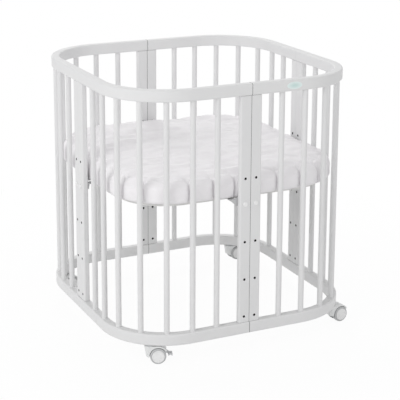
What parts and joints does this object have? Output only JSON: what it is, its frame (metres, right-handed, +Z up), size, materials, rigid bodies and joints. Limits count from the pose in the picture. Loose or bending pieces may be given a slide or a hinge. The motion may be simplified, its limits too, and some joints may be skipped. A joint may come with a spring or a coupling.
{
  "type": "playpen",
  "caption": "Square playpen cot with round corners, white slatted wooden frame on twin-wheel castors, lift-off base and mattress, post holes for other base heights.",
  "frame": {"origin": "on the floor, under the middle of the frame", "axes": "+Z up, +X to the right along the front, front faces -Y"},
  "size_m": [0.792, 0.7925, 0.8245],
  "materials": {
    "white_lacquer": "satin",
    "panel_lacquer": "matte",
    "beech": "matte",
    "steel": "satin",
    "grey_painted_steel": "satin",
    "white_plastic": "satin",
    "wheel_plastic": "satin",
    "grey_plastic": "satin",
    "badge_plastic": "gloss",
    "foam": "matte",
    "white_cover": "matte"
  },
  "bodies": {
    "frame": {"top_rail_front_left": "white_lacquer", "lower_rail_front_left": "white_lacquer", "slats_front_left": "white_lacquer", "top_rail_front_right": "white_lacquer", "lower_rail_front_right": "white_lacquer", "slats_front_right": "white_lacquer", "top_rail_back_right": "white_lacquer", "lower_rail_back_right": "white_lacquer", "slats_back_right": "white_lacquer", "top_rail_back_left": "white_lacquer", "lower_rail_back_left": "white_lacquer", "slats_back_left": "white_lacquer", "front_post_left_board": "white_lacquer", "front_post_right_board": "white_lacquer", "right_post_left_board": "white_lacquer", "right_post_right_board": "white_lacquer", "back_post_left_board": "white_lacquer", "back_post_right_board": "white_lacquer", "left_post_left_board": "white_lacquer", "left_post_right_board": "white_lacquer", "post_dowels": "beech", "seam_dowel_screws": "steel", "badge_plate": "badge_plastic", "base_bolts": "steel", "bolt_caps": "white_plastic", "collar_nuts": "steel", "castor_sleeves": "steel", "castor_stems": "steel"},
    "base": {"base_panel": "panel_lacquer", "base_battens": "beech", "base_bracket_front": "grey_painted_steel", "base_bracket_right": "grey_painted_steel", "base_bracket_back": "grey_painted_steel", "base_bracket_left": "grey_painted_steel", "bracket_screws": "steel", "batten_screws": "steel"},
    "mattress": {"mattress_core": "foam", "mattress_cover": "white_cover"},
    "castor_front_left": {"castor_hood_front_left": "white_plastic", "castor_axle_front_left": "steel", "brake_lever_pin_front_left": "steel"},
    "wheel_front_left_left": {"castor_wheel_front_left_left": "wheel_plastic"},
    "wheel_front_left_right": {"castor_wheel_front_left_right": "wheel_plastic"},
    "brake_front_left": {"brake_lever_front_left": "grey_plastic"},
    "castor_front_right": {"castor_hood_front_right": "white_plastic", "castor_axle_front_right": "steel"},
    "wheel_front_right_left": {"castor_wheel_front_right_left": "wheel_plastic"},
    "wheel_front_right_right": {"castor_wheel_front_right_right": "wheel_plastic"},
    "castor_back_right": {"castor_hood_back_right": "white_plastic", "castor_axle_back_right": "steel"},
    "wheel_back_right_left": {"castor_wheel_back_right_left": "wheel_plastic"},
    "wheel_back_right_right": {"castor_wheel_back_right_right": "wheel_plastic"},
    "castor_back_left": {"castor_hood_back_left": "white_plastic", "castor_axle_back_left": "steel", "brake_lever_pin_back_left": "steel"},
    "wheel_back_left_left": {"castor_wheel_back_left_left": "wheel_plastic"},
    "wheel_back_left_right": {"castor_wheel_back_left_right": "wheel_plastic"},
    "brake_back_left": {"brake_lever_back_left": "grey_plastic"}
  },
  "joints": [
    {"name": "base_lift", "type": "slide", "parent": "frame", "child": "base", "axis": [0, 0, 1], "range_m": [0, 0.31]},
    {"name": "mattress_lift", "type": "slide", "parent": "base", "child": "mattress", "axis": [0, 0, 1], "range_m": [0, 0.42]},
    {"name": "swivel_front_left", "type": "hinge", "parent": "frame", "child": "castor_front_left", "pos_m": [-0.3052, -0.34272, 0.042], "axis": [0, 0, 1], "continuous": true},
    {"name": "roll_front_left_left", "type": "hinge", "parent": "castor_front_left", "child": "wheel_front_left_left", "pos_m": [-0.28641, -0.36419, 0.024], "axis": [0.342, 0.9397, 0], "continuous": true},
    {"name": "roll_front_left_right", "type": "hinge", "parent": "castor_front_left", "child": "wheel_front_left_right", "pos_m": [-0.277, -0.33835, 0.024], "axis": [0.342, 0.9397, 0], "continuous": true},
    {"name": "brake_tip_front_left", "type": "hinge", "parent": "castor_front_left", "child": "brake_front_left", "pos_m": [-0.26385, -0.35777, 0.036], "axis": [0.342, 0.9397, 0], "range_deg": [0, 18]},
    {"name": "swivel_front_right", "type": "hinge", "parent": "frame", "child": "castor_front_right", "pos_m": [0.34272, -0.3052, 0.042], "axis": [0, 0, 1], "continuous": true},
    {"name": "roll_front_right_left", "type": "hinge", "parent": "castor_front_right", "child": "wheel_front_right_left", "pos_m": [0.36902, -0.31626, 0.024], "axis": [-0.1045, 0.9945, 0], "continuous": true},
    {"name": "roll_front_right_right", "type": "hinge", "parent": "castor_front_right", "child": "wheel_front_right_right", "pos_m": [0.36615, -0.28891, 0.024], "axis": [-0.1045, 0.9945, 0], "continuous": true},
    {"name": "swivel_back_right", "type": "hinge", "parent": "frame", "child": "castor_back_right", "pos_m": [0.3052, 0.34272, 0.042], "axis": [0, 0, 1], "continuous": true},
    {"name": "roll_back_right_left", "type": "hinge", "parent": "castor_back_right", "child": "wheel_back_right_left", "pos_m": [0.3315, 0.33166, 0.024], "axis": [-0.1045, 0.9945, 0], "continuous": true},
    {"name": "roll_back_right_right", "type": "hinge", "parent": "castor_back_right", "child": "wheel_back_right_right", "pos_m": [0.32863, 0.35901, 0.024], "axis": [-0.1045, 0.9945, 0], "continuous": true},
    {"name": "swivel_back_left", "type": "hinge", "parent": "frame", "child": "castor_back_left", "pos_m": [-0.34272, 0.3052, 0.042], "axis": [0, 0, 1], "continuous": true},
    {"name": "roll_back_left_left", "type": "hinge", "parent": "castor_back_left", "child": "wheel_back_left_left", "pos_m": [-0.31642, 0.29414, 0.024], "axis": [-0.1045, 0.9945, 0], "continuous": true},
    {"name": "roll_back_left_right", "type": "hinge", "parent": "castor_back_left", "child": "wheel_back_left_right", "pos_m": [-0.3193, 0.32149, 0.024], "axis": [-0.1045, 0.9945, 0], "continuous": true},
    {"name": "brake_tip_back_left", "type": "hinge", "parent": "castor_back_left", "child": "brake_back_left", "pos_m": [-0.29896, 0.3098, 0.036], "axis": [-0.1045, 0.9945, 0], "range_deg": [0, 18]}
  ]
}
